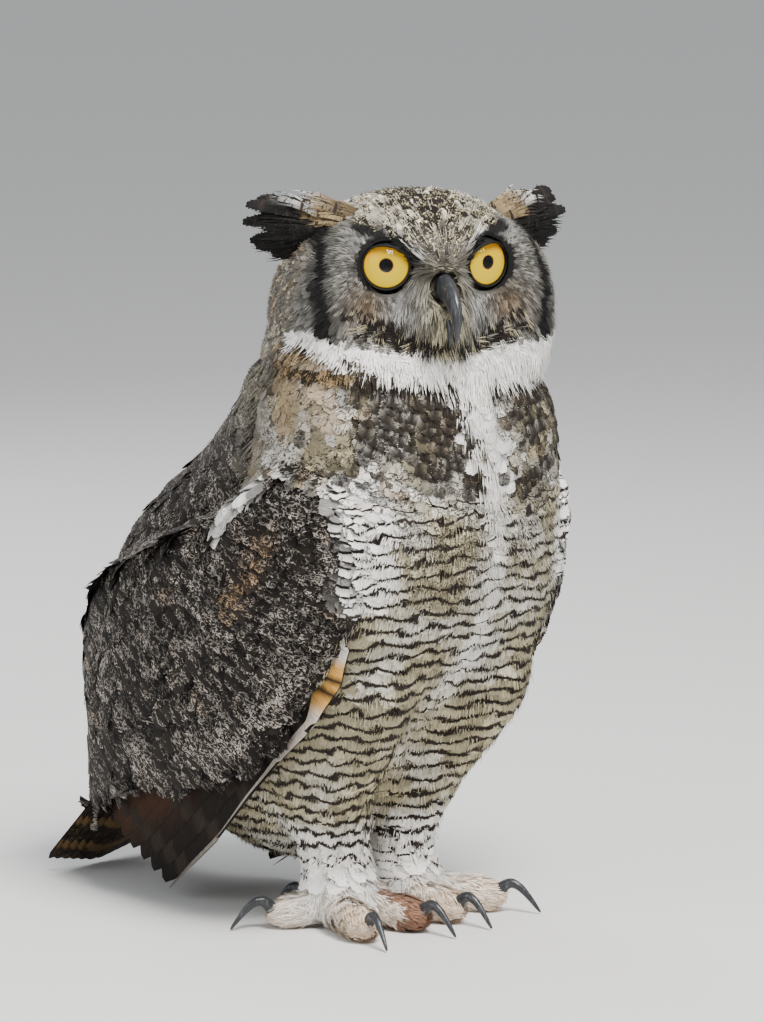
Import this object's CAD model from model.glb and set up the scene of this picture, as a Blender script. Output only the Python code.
"""A great horned owl at rest, life size: a still museum model with every feather laid by hand.

The skin is one shell. Eyes, lids, bill and claws are set into it, then the coat is laid on it from the body
and legs up to the face, as a model maker would. Metres, +Z up; the owl faces -Y and its left side is +X.
"""

import math

import bmesh
import bpy
import numpy as np
from mathutils import Matrix, Vector
from mathutils.bvhtree import BVHTree


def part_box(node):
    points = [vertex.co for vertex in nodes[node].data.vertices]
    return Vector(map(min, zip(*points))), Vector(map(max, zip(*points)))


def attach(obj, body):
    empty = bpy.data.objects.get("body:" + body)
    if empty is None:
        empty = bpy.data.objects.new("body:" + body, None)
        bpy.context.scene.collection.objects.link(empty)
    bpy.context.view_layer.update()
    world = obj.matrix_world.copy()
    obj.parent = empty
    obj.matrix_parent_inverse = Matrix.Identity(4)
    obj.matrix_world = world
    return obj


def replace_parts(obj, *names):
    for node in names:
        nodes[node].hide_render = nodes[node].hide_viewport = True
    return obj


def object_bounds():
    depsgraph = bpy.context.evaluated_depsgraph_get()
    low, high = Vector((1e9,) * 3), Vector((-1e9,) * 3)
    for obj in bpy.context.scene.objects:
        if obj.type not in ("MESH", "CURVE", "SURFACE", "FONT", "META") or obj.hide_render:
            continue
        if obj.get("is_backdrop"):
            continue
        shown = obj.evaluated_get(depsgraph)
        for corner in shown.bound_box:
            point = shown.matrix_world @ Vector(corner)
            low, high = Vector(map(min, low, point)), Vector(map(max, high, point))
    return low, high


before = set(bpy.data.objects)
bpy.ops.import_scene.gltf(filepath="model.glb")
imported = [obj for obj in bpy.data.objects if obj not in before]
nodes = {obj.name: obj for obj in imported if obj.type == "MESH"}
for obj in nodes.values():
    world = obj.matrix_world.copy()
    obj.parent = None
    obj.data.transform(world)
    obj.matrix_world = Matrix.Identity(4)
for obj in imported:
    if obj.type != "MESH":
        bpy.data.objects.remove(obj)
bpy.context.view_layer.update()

# ==== The owl's own measures ====
# A person who sets up a bird works from its beak and eyes: the head's frame is found from the two eyeballs,
# and the body's from the head's centre. Both give places as (sideways to its left, forward, up).

SIDES = (("left", 1.0), ("right", -1.0))
HEAD_CENTRE = np.array((0.0, 0.030, 0.345))  # in the body's frame
EYE = np.array((0.0315, 0.0545, 0.0335))  # the pupil from the head's centre
EYE_RADIUS = 0.016
EYE_SPLAY = math.radians(19.0)

eye_middles = {}
for side_name, _ in SIDES:
    low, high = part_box(f"eye_{side_name}")
    eye_middles[side_name] = np.array((low + high) / 2)
across_eyes = eye_middles["left"] - eye_middles["right"]
head_turn = math.atan2(across_eyes[1], across_eyes[0])  # minus 29 degrees: turned to its right
HEAD_TO_WORLD = np.array(Matrix.Rotation(head_turn, 3, "Z")) @ np.diag((1.0, -1.0, 1.0))
behind_cornea = np.array((0.0, EYE[1] - EYE_RADIUS * math.cos(EYE_SPLAY), EYE[2]))
head_middle = (eye_middles["left"] + eye_middles["right"]) / 2 - HEAD_TO_WORLD @ behind_cornea
OWL_TO_WORLD = np.diag((1.0, -1.0, 1.0))
owl_middle = head_middle - OWL_TO_WORLD @ HEAD_CENTRE


def in_owl(points):
    """World points in the body's frame."""
    return (np.asarray(points) - owl_middle) @ OWL_TO_WORLD


def in_head(points):
    """World points in the head's frame."""
    return (np.asarray(points) - head_middle) @ HEAD_TO_WORLD


# ==== Skin ====
# The bird's skin with the down on it: one closed shell under the whole coat, from the toes to the crown and
# out over the folded wings. It lies inside the outline of the feathers by the depth of the coat.

FLESH = ["head", "neck", "trunk"]
for part in ("thigh", "shank", "foot", "toe_hind", "toe_outer", "toe_middle", "toe_inner", "wing"):
    FLESH += [f"{part}_left", f"{part}_right"]
PART_NAMES = np.array([name.split("_")[0] for name in FLESH])
SEAM = 0.0007  # closes the thin cuts between neighbouring parts
SKIN_GRAIN = 0.0024
SKIN_LOWEST = 0.0012
COAT_DEPTH = {"head": 0.0030, "neck": 0.0060, "trunk": 0.0060, "thigh": 0.0050, "shank": 0.0022,
              "foot": 0.0016, "toe": 0.0016, "wing": 0.0030}


def into_scene(name, data):
    thing = bpy.data.objects.new(name, data)
    bpy.context.scene.collection.objects.link(thing)
    return thing


def shaped(thing):
    """The mesh that a shape's modifiers make of it. The shape itself is used up."""
    mesh = bpy.data.meshes.new_from_object(thing.evaluated_get(bpy.context.evaluated_depsgraph_get()))
    bpy.data.objects.remove(thing)
    return mesh


def cad_form(name):
    form = bmesh.new()
    form.from_mesh(nodes[name].data)
    bmesh.ops.remove_doubles(form, verts=form.verts[:], dist=1e-6)
    form.normal_update()
    return form


def read(items, key, width, kind=float):
    values = np.empty(len(items) * width, kind)
    items.foreach_get(key, values)
    return values.reshape(-1, width)


forms, form_faces, face_owner = [], [], []
for number, name in enumerate(FLESH):
    form = cad_form(name)
    start = len(forms)
    forms += [vert.co + vert.normal * SEAM for vert in form.verts]
    form_faces += [[start + vert.index for vert in face.verts] for face in form.faces]
    face_owner += [number] * len(form.faces)
    form.free()
flesh_tree = BVHTree.FromPolygons(forms, form_faces)

blank = bpy.data.meshes.new("skin_form")
blank.from_pydata(forms, [], form_faces)
shaping = into_scene("skin_form", blank)
remesh = shaping.modifiers.new("one_shell", "REMESH")
remesh.mode = "VOXEL"
remesh.voxel_size = SKIN_GRAIN
skin_mesh = shaped(shaping)

# Only the outermost shell is skin; pockets left closed in between wing and body are dropped.
form = bmesh.new()
form.from_mesh(skin_mesh)
unseen, shells = set(form.verts), []
while unseen:
    shell = [unseen.pop()]
    for vert in shell:  # the list grows as it is walked
        for edge in vert.link_edges:
            other = edge.other_vert(vert)
            if other in unseen:
                unseen.discard(other)
                shell.append(other)
    shells.append(shell)
shells.sort(key=len)
bmesh.ops.delete(form, geom=[vert for shell in shells[:-1] for vert in shell], context="VERTS")
form.to_mesh(skin_mesh)
form.free()

skin_places = read(skin_mesh.vertices, "co", 3)
count = len(skin_places)
edges = read(skin_mesh.edges, "vertices", 2, int)
neighbours = np.bincount(edges.ravel(), minlength=count)[:, None]


def columns(*values):
    """Numbers and lists set side by side, one row for each point."""
    return np.stack(np.broadcast_arrays(*values), axis=-1)


def smoothed(values, rounds, share=0.5):
    """Each vertex's values drawn towards the mean of its neighbours'."""
    for _ in range(rounds):
        total = columns(*(
            np.bincount(edges[:, 0], column[edges[:, 1]], count)
            + np.bincount(edges[:, 1], column[edges[:, 0]], count)
            for column in values.T
        ))
        values = values + (total / neighbours - values) * share
    return values


def owners(points):
    """The number, in FLESH, of the part that each point lies nearest to."""
    return np.array([face_owner[flesh_tree.find_nearest(Vector(point))[2]] for point in points])


owner = owners(skin_places)
depths = smoothed(np.array([COAT_DEPTH[name] for name in PART_NAMES])[owner][:, None], 6)
in_face = (in_head(skin_places)[:, 1] > 0.02) & (owner == 0)
skin_places = np.where(in_face[:, None], smoothed(skin_places, 3), smoothed(skin_places, 14))
skin_places = smoothed(skin_places, 2)
skin_mesh.vertices.foreach_set("co", skin_places.ravel())
skin_mesh.update()
skin_places = skin_places - read(skin_mesh.vertices, "normal", 3) * depths
skin_places[:, 2] = np.maximum(skin_places[:, 2], SKIN_LOWEST)
skin_mesh.vertices.foreach_set("co", skin_places.ravel())
skin_mesh.shade_smooth()
skin_mesh.update()
skin_normals = read(skin_mesh.vertices, "normal", 3)
skin_faces = [list(face.vertices) for face in skin_mesh.polygons]
skin_tree = BVHTree.FromPolygons([Vector(place) for place in skin_places], skin_faces)
skin_mesh.name = "skin"
skin = into_scene("skin", skin_mesh)

bpy.context.view_layer.objects.active = skin
skin.select_set(True)
skin_mesh.uv_layers.new(name="OFBake")
bpy.ops.object.mode_set(mode="EDIT")
bpy.ops.mesh.select_all(action="SELECT")
bpy.ops.uv.smart_project(angle_limit=math.radians(66.0), island_margin=0.002)
bpy.ops.object.mode_set(mode="OBJECT")
skin.select_set(False)
first_corners = read(skin_mesh.polygons, "loop_start", 1, int)[:, 0]
face_uv = read(skin_mesh.uv_layers["OFBake"].data, "uv", 2)[first_corners]

# Colours of an owl's plumage, and where its markings lie
WHITE = np.array((0.86, 0.84, 0.80))
CREAM = np.array((0.68, 0.60, 0.39))
TAN = np.array((0.40, 0.28, 0.155))
BUFF = np.array((0.52, 0.32, 0.14))
ORANGE = np.array((0.72, 0.38, 0.09))
RUST = np.array((0.26, 0.115, 0.065))
GREY = np.array((0.23, 0.205, 0.18))
ASH = np.array((0.215, 0.205, 0.185))
BROWN = np.array((0.055, 0.040, 0.030))
UMBER = np.array((0.022, 0.017, 0.014))
BLACK = np.array((0.006, 0.006, 0.006))

BAR_SPACING = 0.0077
ANKLE = (0.0255, 0.004)  # aside and forward
CHEST_BLOTCHES = (  # sideways, up and size, in the body's frame
    (-0.070, 0.314, 0.010), (-0.059, 0.297, 0.011), (-0.048, 0.310, 0.012), (-0.036, 0.303, 0.010),
    (-0.033, 0.290, 0.011), (-0.022, 0.277, 0.008), (-0.070, 0.290, 0.007), (0.017, 0.304, 0.007),
    (0.029, 0.293, 0.008), (0.012, 0.309, 0.005), (-0.005, 0.303, 0.005), (0.023, 0.254, 0.007),
    (0.038, 0.246, 0.007), (-0.016, 0.258, 0.006), (-0.041, 0.270, 0.008), (0.041, 0.264, 0.006),
    (0.045, 0.309, 0.008), (0.057, 0.295, 0.009), (0.069, 0.275, 0.008), (0.076, 0.303, 0.009),
)
# Dark lines under the bill, and the bib's upper edge, lower edge and tongue: sideways and rise on the head
CHIN = ((-0.051, 0.003), (-0.037, -0.002), (-0.018, -0.011), (0.004, -0.017), (0.023, -0.013),
        (0.038, -0.006), (0.049, -0.001))
BIB_TOP = ((-0.082, -0.002), (-0.069, -0.003), (-0.059, -0.008), (-0.025, -0.014), (0.004, -0.020),
           (0.041, -0.011), (0.069, -0.009), (0.082, -0.005))
BIB_FOOT = ((-0.082, -0.010), (-0.069, -0.016), (-0.062, -0.023), (-0.039, -0.029), (-0.011, -0.035),
            (0.013, -0.040), (0.033, -0.038), (0.068, -0.034), (0.082, -0.024))
BIB_TONGUE = ((0.013, -0.036), (0.022, -0.063), (0.033, -0.094))


def blend(first, second, share):
    return first * (1 - share) + second * share


def fade(value, start, end):
    """Goes smoothly from 0 at start to 1 at end."""
    share = np.clip((value - start) / (end - start), 0.0, 1.0)
    return share * share * (3 - 2 * share)


def spot(distance, radius):
    """1 at a spot's middle, fading to nothing a little past its radius."""
    return np.exp(-((distance / radius) ** 2))


def round_spot(places, sideways, rise, radius):
    return spot(np.hypot(places[:, 0] - sideways, places[:, 1] - rise), radius)


def line_distance(places, *knots):
    """How far each two-number place lies from a bent line through the knots."""
    nearest = np.full(len(places), 1.0)
    for start, end in zip(knots, knots[1:]):
        start, end = np.array(start), np.array(end)
        along = end - start
        share = np.clip((places - start) @ along / (along @ along), 0.0, 1.0)
        nearest = np.minimum(nearest, np.linalg.norm(places - start - share[:, None] * along, axis=1))
    return nearest


def streak(places, radius, *knots):
    """1 along a bent line through the knots, fading out beside it like a spot."""
    return spot(line_distance(places, *knots), radius)


def patches(points, size):
    """A smooth uneven value about 0 that changes sign over about `size`."""
    x, y, z = (points * (2.4 / size)).T
    value = np.sin(x + 1.7 * np.sin(0.6 * z + 0.9)) * np.cos(y * 1.1 - 0.8 * np.sin(0.7 * x))
    return value + 0.8 * np.sin(z * 1.3 + 1.9 * np.sin(0.8 * y + 0.4)) * np.sin(0.9 * x + 0.5 * z)


def edge_line(knots, sideways):
    return np.interp(sideways, *np.array(knots).T)


def frontness(owl):
    """How far forward a place is, where low places at the flanks count as further forward."""
    return owl[:, 1] + 0.6 * (0.20 - owl[:, 2]).clip(0)


def markings(points, random):
    """The plumage at each point: its ground colour and that of its marks; how far apart its bars are, how
    much of that is dark and how mottled it is; and how much of a feather's middle is one dark blotch."""
    owl, head = in_owl(points), in_head(points)
    part = PART_NAMES[owners(points)]
    across, forward, up = owl.T
    aside = np.abs(across)
    each = random[:, None]
    uneven, fine = patches(owl, 0.030), patches(owl + 0.3, 0.013)
    looks = {"ground": UMBER * 1.6, "mark": UMBER, "spacing": BAR_SPACING, "dark": 0.0, "mottle": 0.5}

    def on(*names):
        return np.isin(part, names) * 1.0

    def paint(amount, **targets):
        for name, target in targets.items():
            share = amount[:, None] if name in ("ground", "mark") else amount
            looks[name] = blend(looks[name], target, share)

    # Back and hind neck: dark grey-brown, finely marked, greyer up the neck
    back = on("trunk", "neck")
    paint(back, ground=UMBER * 0.9, mark=GREY * (0.8 + 1.2 * each),
          mottle=0.50 + 0.25 * fade(uneven, -0.8, 0.8))
    paint(back * fade(up, 0.25, 0.32), ground=GREY * 0.42)
    paint(back * fade(up, 0.27, 0.32) * 0.7, mark=CREAM * 0.8)
    paint(back * fade(up, 0.25, 0.31), mottle=0.95)

    # Underparts: cream and white with wavy dark bars, whiter along the parting down the middle
    under = np.where(part == "thigh", 1.0, fade(frontness(owl), -0.03, 0.015)) * on("trunk", "thigh", "neck")
    paint(under, ground=CREAM * (0.40 + 0.48 * each), mark=UMBER * 1.15, mottle=0.0,
          dark=0.40 - 0.10 * fade(up, 0.20, 0.26))
    paint(under * fade(uneven + 1.2 * (random - 0.5), -0.4, 1.0) * 0.65, ground=WHITE * 0.95)
    paint(under * fade(aside, 0.045, 0.085) * fade(up, 0.21, 0.11) * 0.75, ground=CREAM * 0.40)
    paint(under * spot(across - 0.002, 0.010) * fade(up, 0.10, 0.16) * 0.85, ground=WHITE)
    high = under * fade(up, 0.185, 0.225)
    speckled = fade(fine + 0.5 * uneven, -0.5, 0.7)
    paint(high * (1 - spot(across, 0.010)), mottle=0.55 + 0.75 * speckled)
    paint(high * speckled * 0.8, mark=UMBER * 1.5)
    paint(under * spot(across + 0.030, 0.030) * spot(up - 0.212, 0.026), mottle=1.05)
    paint(under * spot(across - 0.002, 0.008), dark=0.13)
    paint(high * (random < 0.25), dark=0.05)
    # White scaly feathers where the wing's wrist meets the breast
    from_side = owl[:, 1:]
    scaly = streak(from_side, 0.0075, (0.064, 0.262), (0.068, 0.250), (0.073, 0.232), (0.076, 0.220),
                   (0.072, 0.200)) * fade(aside, 0.062, 0.068) * on("trunk", "wing")
    scaly = np.minimum(scaly * 2.5, 1.0)
    paint(scaly, ground=WHITE * 1.1, mark=UMBER, mottle=0.12, dark=0.30)
    paint(scaly * on("wing"), spacing=0.0054)
    # Upper breast: dark blotches on white and buff
    chest = under * fade(up, 0.240, 0.262)
    paint(chest * fade(fine, 0.2, 0.9) * 0.6, ground=TAN * (0.4 + 0.9 * each))
    paint(chest * fade(fine, -0.2, -0.9) * 0.65, ground=WHITE)
    paint(chest, dark=0.0, mottle=0.55 + 0.65 * random)
    blotch = 0.9 * chest * (random > 0.62) * fade(patches(owl + 0.7, 0.020), -0.5, 0.3)
    for sideways, rise, size in CHEST_BLOTCHES:
        away = np.hypot(across - sideways, up - rise) + 0.006 * (random - 0.5)
        blotch = np.maximum(blotch, np.minimum(chest * spot(away, size * 1.35) * 3.0, 1.0))
    looks["blotch"] = blotch
    # Tan sides of the neck
    tan = streak(owl[:, [0, 2]], 0.0045, (-0.084, 0.325), (-0.088, 0.308), (-0.088, 0.292))
    tan = np.maximum(tan, 0.7 * round_spot(columns(aside, up), 0.094, 0.296, 0.006)) * chest
    paint(tan * 0.6, ground=BUFF * (0.3 + 0.7 * each))
    paint(tan, blotch=0.3, mottle=0.45)

    # Legs: white with a few bars at the shanks, cream and buff on the toes, one toe rusty
    leg, toe = on("shank", "foot"), on("toe")
    paint(leg, ground=WHITE * 1.14, mark=UMBER, spacing=0.0088,
          dark=0.16 * fade(up, 0.016, 0.024) * (random < 0.55))
    paint(on("thigh") * fade(up, 0.070, 0.050), ground=WHITE * 1.05)
    paint(toe, ground=WHITE * 0.98 + BUFF * 0.36, dark=0.0)
    from_ankle = np.hypot(aside - ANKLE[0], forward - ANKLE[1])
    paint(toe * fade(from_ankle, 0.034, 0.018) * 0.85, ground=WHITE * 1.05)
    paint(toe * fade(random, 0.6, 1.0) * 0.5, ground=BUFF * 0.95)
    paint(toe * fade(from_ankle, 0.034, 0.056) * 0.40, ground=BUFF * (1.1 + 0.5 * each))
    inner_toe = toe * (across < 0) * (aside < 0.022) * fade(forward + 0.006 * random, 0.026, 0.034)
    paint(inner_toe * 0.9, ground=RUST * (0.6 + 0.8 * each))
    paint(leg + toe, mottle=0.0)

    # Wings: almost black, finely marked with pale grey, with tawny here and there
    wing = on("wing") * (1 - scaly)
    paint(wing, ground=UMBER * (0.45 + 0.7 * each), mark=GREY * (1.0 + 1.3 * each), dark=0.0,
          mottle=0.50 + 0.34 * fade(uneven + 0.5 * fine, -0.9, 1.0))
    tawny = streak(from_side, 0.008, (0.016, 0.226), (0.004, 0.205), (-0.010, 0.190))
    tawny = wing * np.maximum(tawny, 0.35 * fade(fine, 0.9, 1.4))
    paint(tawny * 0.85, mark=BUFF)
    paint(tawny * 0.7, ground=BROWN)
    pale = wing * streak(from_side, 0.0055, (0.030, 0.149), (0.016, 0.136), (-0.010, 0.118), (-0.024, 0.126))
    paint(pale, mark=GREY * 2.2, mottle=0.95)
    scapular = wing * streak(from_side, 0.0036, (0.008, 0.260), (-0.003, 0.249), (-0.017, 0.238),
                             (-0.025, 0.228))
    paint(np.minimum(scapular * 1.4, 1.0), ground=WHITE)
    paint(scapular, mark=UMBER, mottle=0.22)

    # Crown, nape and the sides behind the discs: grizzled, with paler brows
    on_head = on("head")
    sideways, ahead, rise = head.T
    side = np.abs(sideways)
    face = columns(side, rise)
    crown_dark = spot(side - 0.30 * (rise - 0.045).clip(0), 0.016) * fade(rise, 0.03, 0.05)
    pale_share = (0.20 + 0.45 * streak(face, 0.012, (0.026, 0.058), (0.038, 0.062), (0.048, 0.057))
                  + 0.5 * round_spot(face, 0.062, 0.044, 0.009) - 0.08 * crown_dark)
    is_pale = on_head * (random < pale_share)
    paint(on_head, ground=UMBER * 0.7, mark=CREAM * 1.05, mottle=0.60 - 0.16 * crown_dark, dark=0.0)
    paint(is_pale * (0.55 + 0.45 * (random < 0.2)), ground=CREAM * 0.5 + WHITE * 0.35)
    paint(is_pale, mark=UMBER)
    nape = on_head * fade(ahead, 0.038, 0.016) * fade(rise, 0.060, 0.040)
    paint(nape * 0.9, ground=GREY * (0.50 + 0.60 * each))
    paint(nape * fade(fine, 0.4, 1.0) * 0.4, ground=BUFF * 0.5)
    paint(nape * (random < 0.75), mark=UMBER)
    paint(nape, mottle=1.05)
    # Facial discs: fine grey spokes, with a dull tawny patch under each eye
    disc = on_head * fade(ahead, 0.018, 0.034) * fade(rise - 0.42 * side, 0.041, 0.036)
    spokes = 0.30 + 1.10 * each**1.7
    paint(disc, ground=ASH * spokes, mottle=0.0)
    paint(disc * round_spot(face, 0.043, 0.050, 0.007) * 0.5 * (random > 0.3), ground=WHITE * 0.55)
    paint(disc * round_spot(face, 0.042, 0.010, 0.011) * 0.65, ground=BUFF * 0.40 * spokes)
    paint(disc * round_spot(face, 0.020, 0.007, 0.009) * 0.8, ground=WHITE * 0.65 * (0.15 + 0.9 * each**1.5))
    paint(disc * spot(side, 0.011) * 0.85, ground=CREAM * (0.10 + 0.85 * each**1.6))
    to_eye = np.hypot(side - EYE[0], rise - EYE[2])
    paint(disc * fade(to_eye, 0.0168, 0.0154) * 0.97, ground=BLACK)
    paint(on_head * streak(face, 0.0036, (0.0145, 0.0345), (0.0190, 0.0425)) * 0.97, ground=BLACK)
    # Black rim behind each disc, broader below; white line and black patch over each eye
    rim = streak(face, 0.0025 + 0.0019 * fade(rise, 0.025, -0.010), (0.053, 0.057), (0.0615, 0.047),
                 (0.0665, 0.021), (0.0640, -0.005), (0.058, -0.018))
    rim = np.minimum(on_head * rim * fade(ahead, 0.010, 0.022) * 1.5, 1.0)
    paint(rim * 0.97, ground=BLACK)
    paint(rim, mottle=0.0)
    shade = streak(face, 0.0036, (0.0200, 0.0450), (0.0280, 0.0500), (0.0360, 0.0525), (0.0420, 0.0530))
    paint(on_head * fade(ahead, 0.02, 0.03) * np.minimum(shade * 1.5, 1.0) * 0.96, ground=BLACK)
    forehead = on_head * round_spot(face, 0.0, 0.040, 0.014) * fade(ahead, 0.035, 0.05)
    paint(forehead * 0.9, ground=GREY * (0.10 + 1.3 * each**4))
    brow = streak(face, 0.0013, (0.0065, 0.0365), (0.0110, 0.0400), (0.0180, 0.0465), (0.0275, 0.0530))
    brow = on_head * fade(ahead, 0.015, 0.03) * brow * (random < 0.55)
    paint(np.minimum(brow * 1.4, 1.0), ground=WHITE * 0.7)
    paint(brow, mottle=0.0)
    # Below the bill: dark lines, then the white bib with its tongue down the breast
    below_bill = head[:, [0, 2]]
    front = fade(ahead, 0.018, 0.024) * on("head", "neck", "trunk")
    chin = front * fade(line_distance(below_bill, *CHIN), 0.0074, 0.0056)
    paint(chin * (random < 0.84 - 0.45 * fade(side, 0.036, 0.050)), ground=UMBER * 0.8)
    paint(chin * (random > 0.88), ground=CREAM * 0.6)
    paint(chin, mottle=0.0)
    top, foot = edge_line(BIB_TOP, sideways), edge_line(BIB_FOOT, sideways)
    ragged = 0.009 * (random - 0.5)
    bib = front * fade(rise, top + 0.001, top - 0.002) * fade(rise + ragged, foot - 0.002, foot + 0.002)
    tongue = fade(line_distance(below_bill, *BIB_TONGUE) + 1.6 * ragged, 0.0098, 0.0060)
    bib = np.maximum(bib, front * tongue * fade(rise, -0.104, -0.094))
    bib = fade(bib, 0.40, 0.60)
    paint(bib, ground=WHITE * (0.80 + 0.32 * each**0.5), mottle=0.0, dark=0.0, blotch=0.0)
    below_bib = on_head * fade(ahead, 0.006, 0.016) * fade(rise, foot + 0.001, foot - 0.001) * (1 - bib)
    paint(below_bib, ground=BUFF * (0.12 + 0.38 * each) + CREAM * 0.10, mark=UMBER, mottle=1.0,
          blotch=0.9 * (random < 0.5))
    pattern = columns(looks["spacing"], looks["dark"], looks["mottle"])
    return looks["ground"], looks["mark"], pattern, looks["blotch"]


def add_layer(mesh, name, values):
    """Three numbers at each vertex for a material to read, kept as a colour where they are one."""
    is_colour = name in ("ground", "mark")
    if is_colour:
        values = np.column_stack((values, np.ones(len(values))))
    layer = mesh.attributes.new(name, "FLOAT_COLOR" if is_colour else "FLOAT_VECTOR", "POINT")
    key = "color" if is_colour else "vector"
    layer.data.foreach_set(key, np.ascontiguousarray(values, np.float32).ravel())


def worked(operation, turned=False):
    """What a sign between two values of a material does: it wires up a Math node."""
    def work(self, other=0.0):
        return self.wire.maths(operation, *((other, self) if turned else (self, other)))
    return work


class Value:
    """A number inside a material, which changes over the surface and can be reckoned with."""

    def __init__(self, wire, socket):
        self.wire, self.socket = wire, socket

    __add__, __sub__, __mul__ = worked("ADD"), worked("SUBTRACT"), worked("MULTIPLY")
    __rsub__, __truediv__, __abs__ = worked("SUBTRACT", True), worked("DIVIDE"), worked("ABSOLUTE")
    larger, sine, fraction = worked("MAXIMUM"), worked("SINE"), worked("FRACT")


class Wiring:
    """Puts shader nodes into a material and joins them up."""

    def __init__(self, name):
        self.material = bpy.data.materials.new(name)
        self.material.use_nodes = True
        self.tree = self.material.node_tree
        self.shader = self.tree.nodes["Principled BSDF"]

    def set(self, socket, value):
        if isinstance(value, Value):
            value = value.socket
        if isinstance(value, bpy.types.NodeSocket):
            self.tree.links.new(value, socket)
        else:
            socket.default_value = (*value, 1.0) if socket.type == "RGBA" else value

    def add(self, kind, settings=None, **inputs):
        node = self.tree.nodes.new("ShaderNode" + kind)
        for key, value in (settings or {}).items():
            setattr(node, key, value)
        for key, value in inputs.items():
            self.set(node.inputs[int(key[1:]) if key[1:].isdigit() else key], value)
        return node

    def maths(self, operation, first, second):
        return Value(self, self.add("Math", {"operation": operation}, i0=first, i1=second).outputs[0])

    def span(self, value, low, high, to_low=0.0, to_high=1.0):
        settings = {"interpolation_type": "SMOOTHSTEP"}
        node = self.add("MapRange", settings, i0=value, i1=low, i2=high, i3=to_low, i4=to_high)
        return Value(self, node.outputs[0])

    def mixed(self, share, first, second, blend_type="MIX"):
        settings = {"data_type": "RGBA", "blend_type": blend_type}
        return self.add("Mix", settings, i0=share, i6=first, i7=second).outputs[2]

    def read(self, name, output):
        return self.add("Attribute", {"attribute_name": name}).outputs[output]

    def split(self, name):
        parts = self.add("SeparateXYZ", Vector=self.read(name, "Vector"))
        return [Value(self, socket) for socket in parts.outputs]

    def join(self, *values):
        return self.add("CombineXYZ", **dict(zip("XYZ", values))).outputs[0]

    def noise(self, place=None, Scale=1.0, **settings):
        if place is not None:
            settings["Vector"] = self.join(*place) if isinstance(place, tuple) else place
        return Value(self, self.add("TexNoise", Scale=Scale, **settings).outputs["Fac"])

    def bump(self, strength, depth, height):
        return self.add("Bump", Strength=strength, Distance=depth, Height=height).outputs[0]

    def finish(self, **values):
        """Sets the shader's own sockets, and gives the material."""
        for key, value in values.items():
            self.set(self.shader.inputs[key.replace("_", " ")], value)
        return self.material


def plumage(name, roughness=0.78, striation=0.20):
    """Feather: a ground colour with wavy bars and a fine mottle across the vane, and the grain of barbs."""
    wire = Wiring(name)
    across, along, chance = wire.split("vane")
    spacing, dark, mottle = wire.split("pattern")
    # Fine barbs slant from the shaft to the edge
    slant = along - abs(across) * 0.8
    barbs = wire.noise((slant * 2200.0, across * 240.0, chance * 37.0), Detail=1.0)
    # Bars bend with the feather's rounded tip, waver a little and break up where the plumage is mottled
    waver = wire.noise((across * 210.0, along * 120.0, chance * 91.0), Detail=2.5, Roughness=0.6)
    turn = (along - across * across * 30.0 + (waver - 0.5) * 0.0034) / spacing
    bar = wire.span(abs(turn.fraction() - 0.5), dark * 0.66, dark * 0.30) * wire.span(dark, 0.005, 0.05)
    # Mottling is fine curling lines, gathered in patches that stop short of the dark bands between them
    curls = wire.noise((across * 290.0, along * 520.0, chance * 53.0), Detail=1.5, Roughness=0.55,
                       Distortion=0.6)
    line_width = mottle * 0.055 + 0.012
    curled = wire.span(abs(curls - 0.5), line_width, line_width * 0.45)
    patchy = wire.noise((across * 95.0, along * 210.0, chance * 29.0), Detail=2.0, Roughness=0.6)
    level = 0.68 - mottle * 0.36 + (along * 640.0 + chance * 9.0).sine() * 0.10
    fleck = curled * wire.span(patchy, level - 0.04, level + 0.04) * wire.span(mottle, 0.02, 0.20)
    marked = wire.mixed(bar.larger(fleck * 0.9), wire.read("ground", "Color"), wire.read("mark", "Color"))
    grain = wire.span(barbs, 0.3, 0.7, 1.0 - striation, 1.0 + striation)
    tone = wire.add("CombineColor", Red=grain, Green=grain, Blue=grain).outputs[0]
    return wire.finish(Base_Color=wire.mixed(1.0, marked, tone, "MULTIPLY"), Roughness=roughness,
                       Normal=wire.bump(0.30, 0.0004, barbs), Specular_IOR_Level=0.14)


feather_finish = plumage("plumage")
skin_random = smoothed(np.random.default_rng(7).random((count, 1)), 2)[:, 0]
ground, mark, pattern, _ = markings(skin_places, skin_random)
skin_owl = in_owl(skin_places)
add_layer(skin_mesh, "ground", ground * 0.6)
add_layer(skin_mesh, "mark", mark)
add_layer(skin_mesh, "vane", columns(skin_owl[:, 0] * 0.2, skin_owl[:, 2], skin_random * 0.1))
add_layer(skin_mesh, "pattern", pattern)
skin_mesh.materials.append(feather_finish)
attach(skin, "root")
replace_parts(skin, *FLESH)

# ==== Eyes ====
# A great horned owl's eyes are fixed tubes that stand forward in their sockets: a wide yellow iris round a
# black pupil, set well back behind a high clear cornea. Glass eyes for models are made in the same two parts.

IRIS_ANGLE = math.radians(52.0)  # from the eye's axis to the iris's edge
PUPIL_SHARE = 0.315  # of the iris's radius
GLASS_RADIUS = EYE_RADIUS * 0.985
IRIS_DOME = 0.0012


def cast(form, name):
    """The mesh of a form. The form is used up."""
    mesh = bpy.data.meshes.new(name)
    form.to_mesh(mesh)
    form.free()
    return mesh


def eye_axes(side):
    """Unit vectors of an eye in the world: to its outer side, up and out of the cornea."""
    lean = side * EYE_SPLAY
    out = HEAD_TO_WORLD @ np.array((math.sin(lean), math.cos(lean), 0.0))
    outer = side * (HEAD_TO_WORLD @ np.array((math.cos(lean), -math.sin(lean), 0.0)))
    return np.array((outer, (0.0, 0.0, 1.0), out))


def add_piece(name, mesh, finish):
    """Puts a mesh into the scene as a piece that rides on the owl's one body."""
    mesh.materials.clear()
    mesh.materials.append(finish)
    mesh.shade_smooth()
    piece = into_scene(name, mesh)
    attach(piece, "root")
    return piece


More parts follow.
